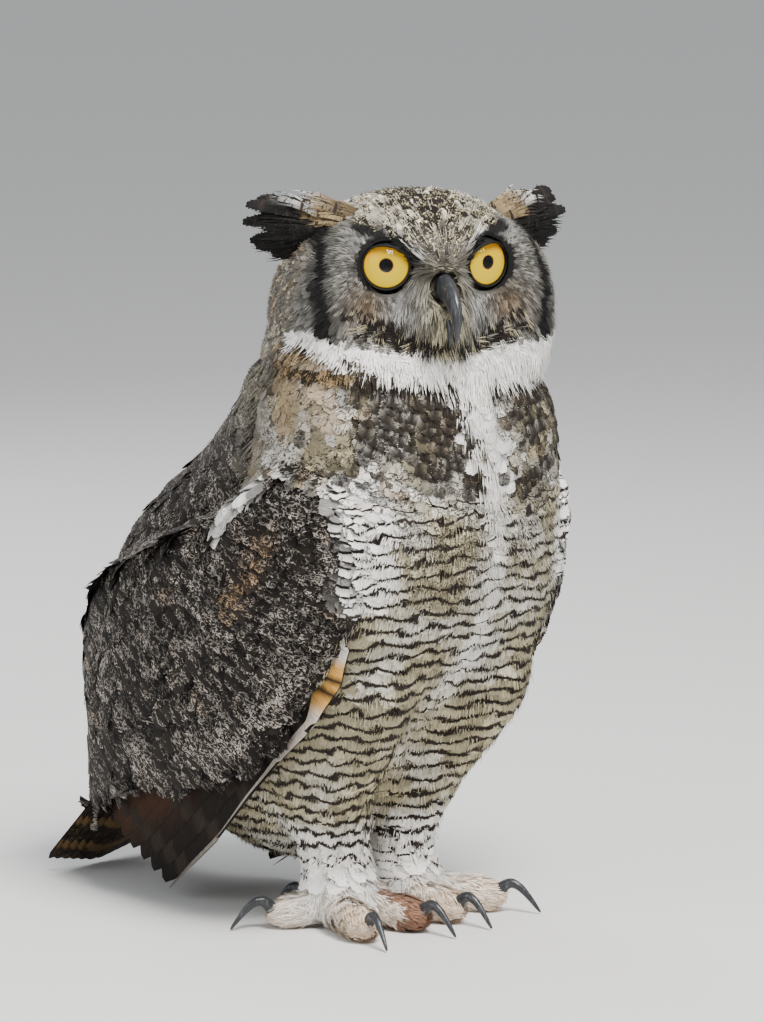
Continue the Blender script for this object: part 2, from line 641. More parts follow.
wire = Wiring("iris")
outer_place, up_place, from_axis = wire.split("iris_place")
round_eye = wire.join(outer_place, up_place)
fibre_place = wire.add("VectorMath", {"operation": "NORMALIZE"}, i0=round_eye).outputs[0]
fibres = wire.noise(fibre_place, Scale=22.0, Detail=4.0, Roughness=0.7)
warm = wire.span(up_place * 0.9 + from_axis, 0.60, 1.65)
yellow = wire.mixed(warm, (0.68, 0.47, 0.0), (0.72, 0.27, 0.0))
rayed = wire.mixed(wire.span(fibres, 0.45, 0.75, 0.0, 0.4), yellow, (0.74, 0.56, 0.0))
inner_ring = wire.span(from_axis + fibres * 0.05, PUPIL_SHARE + 0.05, PUPIL_SHARE + 0.09)
ringed = wire.mixed(inner_ring, (0.72, 0.36, 0.0), rayed)
edged = wire.mixed(wire.span(from_axis, 0.93, 1.0), ringed, (0.12, 0.05, 0.002))
past_pupil = wire.span(from_axis, PUPIL_SHARE - 0.015, PUPIL_SHARE + 0.015)
seen = wire.mixed(past_pupil, (0.001, 0.001, 0.001), edged)
eyeball_colour = wire.mixed(wire.span(from_axis, 1.0, 1.03), seen, (0.004, 0.004, 0.004))
iris_finish = wire.finish(Base_Color=eyeball_colour, Roughness=0.45, Specular_IOR_Level=0.15)

cornea_finish = Wiring("cornea").finish(Base_Color=(0.0, 0.0, 0.0), Roughness=0.02, Alpha=0.10,
                                        Specular_IOR_Level=1.0, Coat_Weight=1.0)

for side_name, side in SIDES:
    for piece_name, finish in (("eyeball", iris_finish), ("cornea", cornea_finish)):
        form = bmesh.new()
        bmesh.ops.create_uvsphere(form, u_segments=64, v_segments=64, radius=1.0)
        if piece_name == "cornea":
            behind = [vert for vert in form.verts if vert.co.z < math.cos(IRIS_ANGLE + 0.12)]
            bmesh.ops.delete(form, geom=behind, context="VERTS")
        local = np.array([vert.co for vert in form.verts])
        angles = np.arccos(np.clip(local[:, 2], -1, 1))
        share = angles / IRIS_ANGLE
        places = local * GLASS_RADIUS
        if piece_name == "eyeball":
            iris = share < 1.0
            spread = GLASS_RADIUS * math.sin(IRIS_ANGLE) * share / np.maximum(np.sin(angles), 1e-6)
            places[iris, :2] = (local[:, :2] * spread[:, None])[iris]
            plane = GLASS_RADIUS * math.cos(IRIS_ANGLE) - 0.0004
            places[iris, 2] = plane + IRIS_DOME * (1 - share[iris] ** 2)
            places[share < PUPIL_SHARE - 0.02, 2] -= IRIS_DOME
        for vert, place in zip(form.verts, eye_middles[side_name] + places @ eye_axes(side)):
            vert.co = place
        bmesh.ops.recalc_face_normals(form, faces=form.faces[:])
        mesh = cast(form, f"{piece_name}_{side_name}")
        add_layer(mesh, "iris_place", columns(local[:, 0], local[:, 1], share))
        piece = add_piece(mesh.name, mesh, finish)
        if piece_name == "eyeball":
            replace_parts(piece, f"eye_{side_name}")

# ==== Eyelids ====
# Bare black lids, drawn tight round the eyeball. The upper one comes down a little over the iris under the
# brow, and the inner corner is drawn out in a black point towards the bill.

LID_STEPS = 72
LID_ROWS = 7
LID_OUTER = math.radians(17.0)  # past the iris's edge
INNER_CORNER = math.radians(158.0)
EDGE_SIDES = 10

wire = Wiring("lid_skin")
folds = wire.noise(Scale=900.0, Detail=4.0, Roughness=0.6)
lid_finish = wire.finish(Base_Color=wire.mixed(folds, (0.002, 0.002, 0.002), (0.007, 0.007, 0.006)),
                         Roughness=0.6, Normal=wire.bump(0.5, 0.0003, folds), Specular_IOR_Level=0.25)


def unit(vectors):
    return vectors / np.maximum(np.linalg.norm(vectors, axis=-1, keepdims=True), 1e-9)


def lofted(name, rows, closed=False):
    """A mesh of quads between rings of points, one ring after another."""
    form = bmesh.new()
    rings = [[form.verts.new(point) for point in row] for row in rows]
    for low, high in zip(rings, rings[1:] + rings[:1] * closed):
        for k in range(len(low)):
            j = (k + 1) % len(low)
            form.faces.new((low[k], low[j], high[j], high[k]))
    bmesh.ops.recalc_face_normals(form, faces=form.faces[:])
    return cast(form, name)


turn = math.tau * np.arange(LID_STEPS) / LID_STEPS
# The upper lid comes lowest on the side of the bill, which gives the owl its scowl
upper = np.sin(turn - math.radians(14.0)).clip(0) ** 2
corner = np.exp(-(((turn - INNER_CORNER) / 0.42) ** 2))
lid_edge = IRIS_ANGLE + math.radians(1.0) - math.radians(12.0) * upper
edge_widths = 0.00055 + 0.0002 * upper + 0.0003 * corner
for side_name, side in SIDES:
    rows = []
    for share in np.linspace(0, 1, LID_ROWS):
        angle = lid_edge + (IRIS_ANGLE + LID_OUTER + math.radians(4.0) * corner - lid_edge) * share
        crease = 0.00035 * math.cos(2.5 * math.tau * share) * (1 - share)
        direction = columns(np.sin(angle) * np.cos(turn), np.sin(angle) * np.sin(turn), np.cos(angle))
        out_from_eye = direction @ eye_axes(side) * (EYE_RADIUS + 0.0003 + crease - 0.0007 * share)
        rows.append(eye_middles[side_name] + out_from_eye)
    add_piece(f"eyelid_{side_name}", lofted(f"eyelid_{side_name}", rows), lid_finish)
    # The rolled edge is a fine tube along the first row
    ahead = unit(np.roll(rows[0], -1, axis=0) - np.roll(rows[0], 1, axis=0))
    first = unit(np.cross(ahead, (0.31, 0.17, 0.94)))
    second = np.cross(ahead, first)
    round_tube = np.arange(EDGE_SIDES)[:, None] * math.tau / EDGE_SIDES
    tube = [point + width * (np.cos(round_tube) * one + np.sin(round_tube) * other)
            for point, width, one, other in zip(rows[0], edge_widths, first, second)]
    name = f"lid_edge_{side_name}"
    add_piece(name, lofted(name, tube, closed=True), lid_finish)

# ==== Bill and claws ====
# Horn sheaths over bone, slate black and polished by use: the hooked bill with its short lower half, and the
# eight long curved claws. Each is rounded from its plain form by subdivision.

BILL_SLIMNESS = 0.72  # the bristles stand round the horn, inside the bill's outline
CLAW_SWELL = 0.0006  # makes up for what rounding takes away
HORN = ["bill_upper", "bill_lower"]
for side_name, _ in SIDES:
    HORN += [f"claw_{toe}_{side_name}" for toe in ("hind", "outer", "middle", "inner")]

wire = Wiring("horn")
worn = wire.noise(Scale=260.0, Detail=5.0, Roughness=0.6)
horn_place = wire.add("TexCoord").outputs["Object"]
stretched = wire.add("Mapping", Vector=horn_place, Scale=(900.0, 900.0, 110.0)).outputs[0]
streaks = wire.noise(stretched, Detail=3.0)
slate = wire.mixed(worn, (0.006, 0.006, 0.007), (0.040, 0.043, 0.048))
slate = wire.mixed(wire.span(streaks, 0.5, 0.8), slate, (0.10, 0.105, 0.115))
horn_finish = wire.finish(Base_Color=slate, Normal=wire.bump(0.25, 0.0003, streaks),
                          Roughness=wire.span(worn, 0.3, 0.7, 0.22, 0.40))

across_head = HEAD_TO_WORLD[:, 0]
for name in HORN:
    form = cad_form(name)
    for vert in form.verts:
        if name.startswith("bill"):
            off = float((np.array(vert.co) - head_middle) @ across_head)
            vert.co -= Vector(across_head * (off * (1 - BILL_SLIMNESS)))
        else:
            vert.co += vert.normal * CLAW_SWELL
    rounded = into_scene(name + "_form", cast(form, name + "_form"))
    rounding = rounded.modifiers.new("rounding", "SUBSURF")
    rounding.levels = rounding.render_levels = 2
    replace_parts(add_piece(name + "_horn", shaped(rounded), horn_finish), name)

# ==== Feathers of the body ====
# Contour feathers overlap like shingles, rooted in the skin and lying down and back along the body. Each is a
# thin cambered vane on its shaft, whose barbs part into a soft fringe at the edge.

COAT_LOWEST = 0.0006
ROOT_SUNK = 0.0006
PATCH = 0.003  # the width of one feather's own place on the unwrap


def outward_faces(faces, places, normals):
    """Faces turned round where needed, so that each looks the same way as the normals at its corners."""
    first, second, third = (places[faces[:, k]] for k in range(3))
    away = (np.cross(second - first, third - first) * normals[faces[:, 0]]).sum(axis=1) < 0
    return np.where(away[:, None], faces[:, ::-1], faces)


class Coat:
    """Feathers of one kind, gathered and then made into one mesh."""

    def __init__(self, name, slot_name, finish=feather_finish):
        self.name, self.slot_name, self.finish = name, slot_name, finish
        self.groups = []

    def gather(self, places, faces, normals, *looks):
        """Adds n feathers of m points each. faces lists arrays that index one feather's points, and the
        looks are ground, mark, vane, pattern and uv."""
        faces = [outward_faces(kind, places[0], normals[0]) for kind in faces]
        shape = places.shape[:2]
        self.groups.append((faces, [np.broadcast_to(layer, (*shape, layer.shape[-1]))
                                    for layer in (places, normals, *looks)]))

    def make(self):
        corners, lengths, used = [], [], 0
        for faces, layers in self.groups:
            feathers, points = layers[0].shape[:2]
            starts = used + points * np.arange(feathers)[:, None, None]
            for kind in faces:
                corners.append((kind + starts).ravel())
                lengths.append(np.full(feathers * len(kind), kind.shape[1]))
            used += feathers * points
        corners, lengths = np.concatenate(corners), np.concatenate(lengths)
        places, normals, ground, mark, vane, pattern, uv = (
            np.concatenate([layers[k].reshape(-1, layers[k].shape[-1]) for _, layers in self.groups])
            for k in range(7))
        places[:, 2] = np.maximum(places[:, 2], COAT_LOWEST)
        mesh = bpy.data.meshes.new(self.name)
        mesh.vertices.add(len(places))
        mesh.vertices.foreach_set("co", places.ravel())
        mesh.loops.add(len(corners))
        mesh.loops.foreach_set("vertex_index", corners)
        mesh.polygons.add(len(lengths))
        mesh.polygons.foreach_set("loop_start", np.cumsum(lengths) - lengths)
        mesh.polygons.foreach_set("loop_total", lengths)
        mesh.update(calc_edges=True)
        for name, values in (("ground", ground), ("mark", mark), ("vane", vane), ("pattern", pattern)):
            add_layer(mesh, name, values)
        mesh.uv_layers.new(name="OFBake").data.foreach_set("uv", uv[corners].astype(np.float32).ravel())
        piece = add_piece(self.name, mesh, self.finish)
        mesh.normals_split_custom_set_from_vertices(normals)
        return piece


def contour_vane(barbs, notch, fullness, seed, point=2.0):
    """One feather flat: points (across -0.5 to 0.5, along 0 to 1), and its faces. Barbs part at the edge."""
    dice = np.random.default_rng(seed)
    shaft = np.linspace(0.0, 0.97, barbs + 1)
    points, quads, triangles = [(0.0, t) for t in shaft], [], []

    def half_width(t):
        if t < 0.5:
            return 0.5 * (0.30 + 0.70 * math.sin(math.pi / 2 * t / 0.5) ** fullness)
        return 0.5 * math.sqrt(max(1 - ((t - 0.5) / 0.5) ** point, 0.0))

    for side in (-1.0, 1.0):
        web = len(points)
        for t in shaft:
            reach = 0.10 * (1 - t) + 0.015
            points.append((side * half_width(min(t + reach * 0.6, 0.985)) * (1 - notch), min(t + reach, 1.0)))
        tips = len(points)
        for k in range(barbs):
            t = (shaft[k] + shaft[k + 1]) / 2
            reach = (0.16 * (1 - t) + 0.03) * dice.uniform(0.7, 1.4)
            end = min(t + reach, 1.02 + 0.05 * dice.random())
            points.append((side * half_width(min(t + reach * 0.5, 0.985)) * dice.uniform(0.84, 1.16), end))
            quads.append((k, k + 1, web + k + 1, web + k))
            triangles.append((web + k, web + k + 1, tips + k))
    return np.array(points), [np.array(quads), np.array(triangles)]


def strand_tuft(strands, spread, seed, thick, points=4):
    """A tuft of narrow strands from one root, flat in the same way as a vane."""
    dice = np.random.default_rng(seed)
    flat, quads, triangles = [], [], []
    for strand in range(strands):
        lean = (strand - (strands - 1) / 2) * spread / (strands - 1) + dice.uniform(-0.08, 0.08)
        root = lean * 0.35
        curl = dice.uniform(-0.12, 0.12)
        reach = dice.uniform(0.70, 1.05)
        start = len(flat)
        for k in range(points - 1):
            t = k / (points - 1)
            half = thick * (1 - t) ** 0.5
            middle = root + (lean - root) * t + curl * t * t
            flat += [(middle - half, t * reach), (middle + half, t * reach)]
        flat.append((lean + curl, reach))
        quads += [(a, a + 1, a + 3, a + 2) for a in range(start, len(flat) - 3, 2)]
        triangles.append((len(flat) - 3, len(flat) - 2, len(flat) - 1))
    return np.array(flat), [np.array(quads), np.array(triangles)]


def on_skin(points):
    """The skin's nearest places, their normals and the places of those faces on the unwrap."""
    found = [skin_tree.find_nearest(Vector(point)) for point in points]
    places, outwards, faces = (np.array([hit[k] for hit in found]) for k in range(3))
    return places, outwards, face_uv[faces]


def along_skin(way, outwards):
    """Directions laid down flat on the skin."""
    return unit(way - outwards * (way * outwards).sum(1, keepdims=True))


def scatter(chosen, gap, seed):
    """Roots spread evenly over the skin where its vertices are chosen, `gap` apart there."""
    dice = np.random.default_rng(seed)
    gap = np.broadcast_to(gap, (count,))
    faces = np.array([face for face in skin_faces if len(face) == 4])
    kept = faces[chosen[faces].all(axis=1)]
    corners = skin_places[kept]
    area = np.linalg.norm(np.cross(corners[:, 2] - corners[:, 0], corners[:, 3] - corners[:, 1]), axis=1) / 2
    gaps = gap[kept].mean(axis=1)
    share = area / gaps**2
    tries = int(share.sum() * 4.0)
    picked = dice.choice(len(kept), tries, p=share / share.sum())
    a, b = dice.random((2, tries, 1))
    first, second, third, fourth = corners[picked].transpose(1, 0, 2)
    points = blend(blend(first, second, a), blend(fourth, third, a), b)
    outwards = unit(skin_normals[kept[picked]].mean(axis=1))
    gaps = gaps[picked] * 0.82
    # A try is kept where no root kept before it, in its own or a neighbouring cell, is nearer than the gap
    cells, taken = {}, []
    keys = np.floor(points / gaps.max()).astype(int).tolist()
    steps = [(i, j, k) for i in (0, -1, 1) for j in (0, -1, 1) for k in (0, -1, 1)]
    for number, ((x, y, z), (px, py, pz), limit) in enumerate(zip(keys, points.tolist(), (gaps**2).tolist())):
        if all((qx - px) ** 2 + (qy - py) ** 2 + (qz - pz) ** 2 >= limit
               for i, j, k in steps for qx, qy, qz in cells.get((x + i, y + j, z + k), ())):
            cells.setdefault((x, y, z), []).append((px, py, pz))
            taken.append(number)
    return points[taken], outwards[taken]


def bar_height(points):
    """Height up the body for its bars, which scallop from feather to feather and waver together."""
    owl = in_owl(points)
    up = owl[:, 2]
    around = np.arctan2(owl[:, 0], owl[:, 1] + 0.02) * 0.085 + 0.0048 * np.sin(math.pi * up / BAR_SPACING)
    return up + 0.0036 * np.abs(np.sin(math.pi * around / 0.017)) + 0.0017 * patches(owl, 0.024)


def lay_feathers(coat, vanes, roots, outwards, lie, length, width, lift, seed, camber=0.05, ragged=0.12,
                 steps=2, rows=False, stray=0.07, root_shade=0.50, shaded=(0.15, 0.75)):
    """Lays feathers on the skin from their roots along `lie`. With rows, bars keep level from one feather to
    the next; otherwise each feather's own are counted from its tip."""
    dice = np.random.default_rng(seed)
    total = len(roots)
    length = length * dice.uniform(1 - ragged, 1 + ragged, total)
    width = width * dice.uniform(1 - ragged, 1 + ragged, total)
    lift = lift * dice.uniform(0.8, 1.2, total)
    way = along_skin(lie + dice.normal(0, stray, (total, 3)), outwards)
    uv = on_skin(roots)[2]
    here, normal = roots, outwards
    middles, ups = [roots], [outwards]
    for _ in range(steps):
        onward = here + way * (length / steps)[:, None]
        landed, turned, _ = on_skin(onward)
        gap = np.linalg.norm(landed - onward, axis=1)
        over_edge = ((turned * outwards).sum(axis=1) < 0.30) | (gap > 0.004 + 0.25 * length / steps)
        here = np.where(over_edge[:, None], blend(here, onward, 0.25), landed)
        normal = np.where(over_edge[:, None], normal, turned)
        way = along_skin(way, normal)
        middles.append(here)
        ups.append(normal)
    middles, ups = np.array(middles), np.array(ups)
    ups[1:] = unit(ups[1:] * 0.5 + ups[:-1] * 0.5)
    whole = np.linalg.norm(middles[-1] - middles[0], axis=1) > 0.55 * length
    middles, ups, uv, length, width, lift = (
        middles[:, whole], ups[:, whole], uv[whole], length[whole], width[whole], lift[whole])
    total = len(length)
    random = dice.random(total)
    ground, mark, pattern, blotch = markings(middles[1] * 0.6 + middles[-1] * 0.4, random)
    roll, nod = dice.normal(0, 0.10, (2, total))
    choice = dice.integers(0, len(vanes), total)
    for number, (flat, faces) in enumerate(vanes):
        mine = np.flatnonzero(choice == number)
        if not len(mine):
            continue
        x, t = flat.T
        low = np.minimum((np.clip(t, 0.0, 1.0) * steps).astype(int), steps - 1)
        part = (t * steps - low)[:, None]
        start, end, first, second = (points[:, mine].transpose(1, 0, 2)
                                     for points in (middles[low], middles[low + 1], ups[low], ups[low + 1]))
        upright = unit(first + (second - first) * part)
        ahead = unit(end - start)
        side = unit(np.cross(ahead, upright))
        long, broad, high, rolled, nodded, chance, dark_middle = (
            values[mine][:, None] for values in (length, width, lift, roll, nod, random, blotch))
        height = (high * np.clip(t, 0, 1.1) ** 0.85 - ROOT_SUNK - camber * broad * (2 * x) ** 2 * 0.5
                  + rolled * x * broad)
        places = (start + (end - start) * part + side * (x * broad)[..., None] + upright * height[..., None])
        normals = unit(upright + side * (x + rolled)[..., None] + ahead * (0.18 * t + nodded)[..., None])
        if camber:
            centre = spot(np.abs(x) ** 3, 0.43**3) * fade(t, 0.05, 0.35) * fade(t, 1.10, 1.0)
            dark_middle = dark_middle * centre
        painted = blend(ground[mine][:, None], UMBER * 0.8, dark_middle[..., None])
        shading = blend(root_shade, 1.0, fade(t, *shaded))[:, None]
        if rows:
            along = bar_height(places.reshape(-1, 3)).reshape(places.shape[:2]) + 30.0 * (x * broad) ** 2
            along = along + 0.0045 * rolled
        else:
            along = (1 - t) * long + chance * 0.004
        coat.gather(places, faces, normals, painted * shading, mark[mine][:, None] * shading,
                    columns(x * broad, along, chance), pattern[mine][:, None],
                    uv[mine][:, None] + PATCH * columns(x, t - 0.5))


def clothe(coat, vanes, chosen, gap, lie, length, width, lift, seed, **manner):
    """Scatters feathers over the chosen skin and lays them. What changes from place to place is a function
    of the roots."""
    roots, outwards = scatter(chosen, gap, seed)
    sizes = [size(roots) if callable(size) else size for size in (length, width, lift)]
    lay_feathers(coat, vanes, roots, outwards, along_skin(lie(roots), outwards), *sizes, seed + 1, **manner)


def downwards(back, out=0.0):
    """The lie of the body's feathers: down and back, and a little away from the middle."""
    return lambda roots: columns(np.sign(in_owl(roots)[:, 0] - 0.001) * out, -back, -1.0) @ OWL_TO_WORLD


def chest_share(owl):
    return fade(owl[:, 2], 0.235, 0.250)


def chest_size(size):
    """Feathers grow smaller up the breast."""
    return lambda roots: size * (1 - 0.36 * chest_share(in_owl(roots)))


owner_name = PART_NAMES[owner]
skin_head = in_head(skin_places)
is_body = np.isin(owner_name, ("trunk", "neck"))
underside = is_body & (frontness(skin_owl) > -0.01)
upperside = is_body & ~underside
on_chest = chest_share(skin_owl)
body_vanes = [contour_vane(12, 0.20, 0.8, seed) for seed in range(6)]
wisps = [strand_tuft(4, 0.85, 30 + seed, 0.075) for seed in range(6)]

underparts = Coat("belly_feathers", "plumage")
belly_lie = downwards(0.30, out=0.20)
clothe(underparts, body_vanes, underside, 0.0068 - 0.0022 * on_chest, belly_lie,
       chest_size(0.024), chest_size(0.0185), 0.0034, 11, rows=True)
clothe(underparts, wisps, underside & (on_chest < 0.9), 0.0040 + 0.0012 * on_chest, belly_lie,
       0.015, 0.0075, 0.0056, 13, rows=True, ragged=0.3, camber=0.0, root_shade=0.9)
underparts.make()

upperparts = Coat("back_feathers", "dark_plumage")
clothe(upperparts, body_vanes, upperside, 0.0082, downwards(0.9), 0.030, 0.020, 0.0040, 21,
       root_shade=0.35, shaded=(0.45, 0.90))
clothe(upperparts, wisps, upperside, 0.0060, downwards(0.9), 0.016, 0.009, 0.0046, 23,
       ragged=0.3, camber=0.0, root_shade=0.9)
upperparts.make()

# ==== Wing coverts ====
# Small coverts at the wrist grade into long ones over the flight feathers. The greater coverts and the
# scapulars lie in rows whose broad tips step down along the wing's lower edge.

WRIST = (0.070, 0.235)  # forward and up
COVERT_EDGE = np.array((
    (0.050, 0.172), (0.043, 0.158), (0.033, 0.141), (0.018, 0.121), (0.002, 0.104), (-0.018, 0.091),
    (-0.042, 0.081), (-0.070, 0.073), (-0.100, 0.066), (-0.136, 0.056), (-0.172, 0.040), (-0.206, 0.026),
))  # forward and up, from the wrist to the tail
COVERT_ROWS = (  # above the edge, number, length, width, lift and seed
    (0.000, 25, 0.040, 0.0195, 0.0030, 33), (0.015, 25, 0.034, 0.0185, 0.0036, 35),
    (0.029, 24, 0.028, 0.0170, 0.0038, 37),
)
SCAPULARS = ((0.014, 0.270), (0.005, 0.260), (-0.004, 0.250), (-0.013, 0.240))
OUTSIDE = 0.11  # aside, just clear of the wing


def past_wrist(points):
    """0 at the wrist to 1 where the coverts reach their full length."""
    owl = in_owl(points)
    return fade(np.hypot(owl[:, 1] - WRIST[0], owl[:, 2] - WRIST[1]), 0.02, 0.16)


coverts = Coat("wing_coverts", "dark_plumage")
covert_vanes = [contour_vane(12, 0.12, 0.6, 40 + seed, point=2.4) for seed in range(5)]
clothe(coverts, covert_vanes, owner_name == "wing", 0.0050 + 0.0036 * past_wrist(skin_places),
       lambda roots: columns(0.0, -1.0, -1.15 - 1.9 * (1 - past_wrist(roots))) @ OWL_TO_WORLD,
       lambda roots: 0.015 + 0.014 * past_wrist(roots), lambda roots: 0.0110 + 0.0075 * past_wrist(roots),
       0.0023, 31, camber=0.04, root_shade=0.25, shaded=(0.50, 0.92))

edge_steps = np.concatenate(([0.0], np.cumsum(np.linalg.norm(np.diff(COVERT_EDGE, axis=0), axis=1))))
for inset, number, length, width, lift, seed in COVERT_ROWS:
    share = (np.arange(number) + 0.5) / number
    forward, up = (np.interp(share, edge_steps / edge_steps[-1], COVERT_EDGE[:, k]) for k in (0, 1))
    fall = np.radians(np.interp(share, (0.0, 0.25, 0.5, 1.0), (68.0, 55.0, 38.0, 24.0)))
    lie = columns(0.0, -np.cos(fall), -np.sin(fall))
    inward = columns(0.0, -np.sin(fall) * 0.35, np.cos(fall))
    for side in (-1.0, 1.0):
        tips = columns(side * OUTSIDE, forward, up) + inward * inset
        starts = owl_middle + (tips - lie * length) @ OWL_TO_WORLD
        roots, outwards, _ = on_skin(starts)
        on_wing = (np.abs(outwards[:, 0]) > 0.35) & (np.linalg.norm((roots - starts)[:, 1:], axis=1) < 0.008)
        lay_feathers(coverts, covert_vanes, roots[on_wing], outwards[on_wing], (lie @ OWL_TO_WORLD)[on_wing],
                     length, width, lift, seed + int(side), steps=3, ragged=0.08, stray=0.03,
                     root_shade=0.25, shaded=(0.50, 0.90))
for side in (-1.0, 1.0):
    starts = np.array([(side * OUTSIDE, forward, up) for forward, up in SCAPULARS])
    roots, outwards, _ = on_skin(owl_middle + starts @ OWL_TO_WORLD)
    lie = np.tile((0.0, -0.70, -0.72), (len(roots), 1)) @ OWL_TO_WORLD
    lay_feathers(coverts, covert_vanes, roots, outwards, lie, 0.018, 0.0068, 0.0044, 39, stray=0.05)
coverts.make()

# ==== Legs ====
# Thighs carry long loose feathers; the shanks and toes are covered in soft hairy ones down to the claws.

leg_coat = Coat("leg_feathers", "plumage")
is_thigh = owner_name == "thigh"
clothe(leg_coat, body_vanes, is_thigh, 0.0062, downwards(0.15), 0.021, 0.0150, 0.0030, 41, rows=True)
clothe(leg_coat, wisps, is_thigh, 0.0042, downwards(0.15), 0.014, 0.0070, 0.0050, 43, rows=True, ragged=0.3,
       camber=0.0, root_shade=0.9)


def down_the_leg(roots):
    """Down the shank, then outwards along the toes."""
    owl = in_owl(roots)
    from_ankle = unit(owl[:, :2] - columns(np.sign(owl[:, 0]) * ANKLE[0], ANKLE[1]))
    low = fade(owl[:, 2], 0.026, 0.012)
    return columns(*(from_ankle.T * (0.15 + 0.85 * low)), -1.0 + 0.80 * low) @ OWL_TO_WORLD


foot_hair = [strand_tuft(4, 0.9, 70 + seed, 0.10) for seed in range(6)]
clothe(leg_coat, foot_hair, np.isin(owner_name, ("shank", "foot", "toe")),
       np.where(owner_name == "toe", 0.0022, 0.0024), down_the_leg,
       lambda roots: 0.0100 + 0.0025 * fade(in_owl(roots)[:, 2], 0.015, 0.035), 0.0046, 0.0036, 45,
       camber=0.0, ragged=0.35, rows=True, root_shade=0.70, stray=0.16)
leg_coat.make()

# ==== Head ====
# Short dense feathers over the crown and nape, and the facial discs: fine stiff barbs that stand out like
# spokes round each eye to catch sound, held by a rim of small dark feathers.

sideways, ahead, rise = skin_head.T
side = np.abs(sideways)
is_head = owner_name == "head"
in_disc = (is_head & (ahead > 0.030) & (rise < 0.038 + 0.42 * side) & (side < 0.0625)
           & (rise - edge_line(CHIN, sideways) > 0.004))


def over_the_head(roots):
    """Back over the crown, out at its sides, and down below the face."""
    head = in_head(roots)
    out = np.sign(head[:, 0])
    below_face = fade(head[:, 2], -0.005, -0.02) * fade(head[:, 1], 0.0, 0.02)
    on_top = fade(head[:, 2], 0.025, 0.045)
    return columns(out * (0.35 * on_top + 0.10 * below_face + 0.25 * (1 - on_top)), 0.8 * below_face - 1.0,
                   1.15 * on_top - 0.9) @ HEAD_TO_WORLD.T


crown = Coat("crown_feathers", "face")
small_vanes = [contour_vane(6, 0.25, 0.8, 90 + seed, point=1.7) for seed in range(5)]
clothe(crown, small_vanes, is_head & ~in_disc, 0.0029, over_the_head, 0.0098, 0.0042, 0.0026, 51,
       ragged=0.25, stray=0.14)
clothe(crown, wisps, is_head & ~in_disc, 0.0034, over_the_head, 0.0085, 0.0046, 0.0036, 151,
       ragged=0.3, camber=0.0, root_shade=0.85, stray=0.14)
crown.make()


def from_eye(roots):
    """From the nearer eye's pupil to each root: away from the bill, and up."""
    head = in_head(roots)
    return columns(np.abs(head[:, 0]) - EYE[0], head[:, 2] - EYE[2])


def spokes(roots):
    across = np.where(in_head(roots)[:, 0] > 0, 1.0, -1.0)
    out, up = unit(from_eye(roots)).T
    return columns(out * across, 0.05, up - 0.12) @ HEAD_TO_WORLD.T


def spoke_length(roots):
    """Longer away from the eye, and shorter again above the chin."""
    head = in_head(roots)
    long = 0.0060 + 0.0055 * fade(np.linalg.norm(from_eye(roots), axis=1), 0.016, 0.04)
    return long * (0.5 + 0.5 * fade(head[:, 2] - edge_line(CHIN, head[:, 0]), 0.003, 0.014))


disc_coat = Coat("facial_disc", "face")
disc_hair = [strand_tuft(3, 0.55, 54 + seed, 0.14) for seed in range(6)]
clothe(disc_coat, disc_hair, in_disc, 0.00150, spokes, spoke_length, 0.0028, 0.0018, 53, camber=0.0,
       ragged=0.2)
disc_coat.make()

# ==== Bristles and bib ====
# Hair-like feathers: bristles fan out from the root of the bill and hide its nostrils, dark ones sweep back
# under the discs like a moustache, and the long soft white ones of the bib hang over the upper breast.


def beside_bill(roots):
    """How low each root lies beside the bill, from 0 at its root to 1 down its sides."""
    return fade(in_head(roots)[:, 2], 0.040, 0.024)


def fanned(roots):
    """Out from the root of the bill, and drooping beside it."""
    head, low = in_head(roots), beside_bill(roots)
    out, up = unit(columns(head[:, 0], head[:, 2] - 0.030)).T
    return columns(out * (1 - 0.45 * low), 0.30 * low, up - 0.75 * low) @ HEAD_TO_WORLD.T


def bristle_lift(roots):
    return 0.0025 + 0.0035 * fade(np.abs(in_head(roots)[:, 0]), 0.016, 0.008) * beside_bill(roots)


def swept(roots):
    """Down under the bill, and outwards under the discs."""
    outer = np.clip(in_head(roots)[:, 0] / 0.02, -1, 1)
    return columns(outer, 0.1, -0.75 + 0.75 * np.abs(outer)) @ HEAD_TO_WORLD.T


bristles = Coat("bill_bristles", "face")
bristle_tufts = [strand_tuft(5, 0.9, 110 + seed, 0.07, points=5) for seed in range(6)]
by_bill = is_head & (side < 0.023) & (ahead > 0.045) & (rise < 0.046) & (rise > -0.016)
clothe(bristles, bristle_tufts, by_bill, 0.0020, fanned, lambda roots: 0.0115 + 0.003 * beside_bill(roots),
       0.0058, bristle_lift, 55, camber=0.0, ragged=0.25, root_shade=0.8, stray=0.12)
moustache = line_distance(skin_head[:, [0, 2]], (-0.040, -0.004), (-0.018, -0.010), (0.004, -0.016),
                          (0.023, -0.012), (0.040, -0.007)) < 0.006
clothe(bristles, bristle_tufts, np.isin(owner_name, ("head", "neck")) & (ahead > 0.03) & moustache, 0.0022,
       swept, 0.0120, 0.0050, 0.0030, 57, camber=0.0, ragged=0.3, stray=0.14)
bristles.make()

bib_coat = Coat("bib_feathers", "face")
bib_tufts = [strand_tuft(5, 0.95, 120 + seed, 0.085, points=5) for seed in range(6)]
in_bib = (rise < edge_line(BIB_TOP, sideways) + 0.004) & (rise > edge_line(BIB_FOOT, sideways) + 0.003)
in_bib |= line_distance(skin_head[:, [0, 2]], *BIB_TONGUE) < 0.0072
in_bib &= np.isin(owner_name, ("head", "neck", "trunk")) & (ahead > 0.026)
clothe(bib_coat, bib_tufts, in_bib, 0.0033, downwards(0.1, out=0.10), 0.0165, 0.0080, 0.0045, 59,
       camber=0.0, ragged=0.3, root_shade=0.92, stray=0.10)
bib_coat.make()

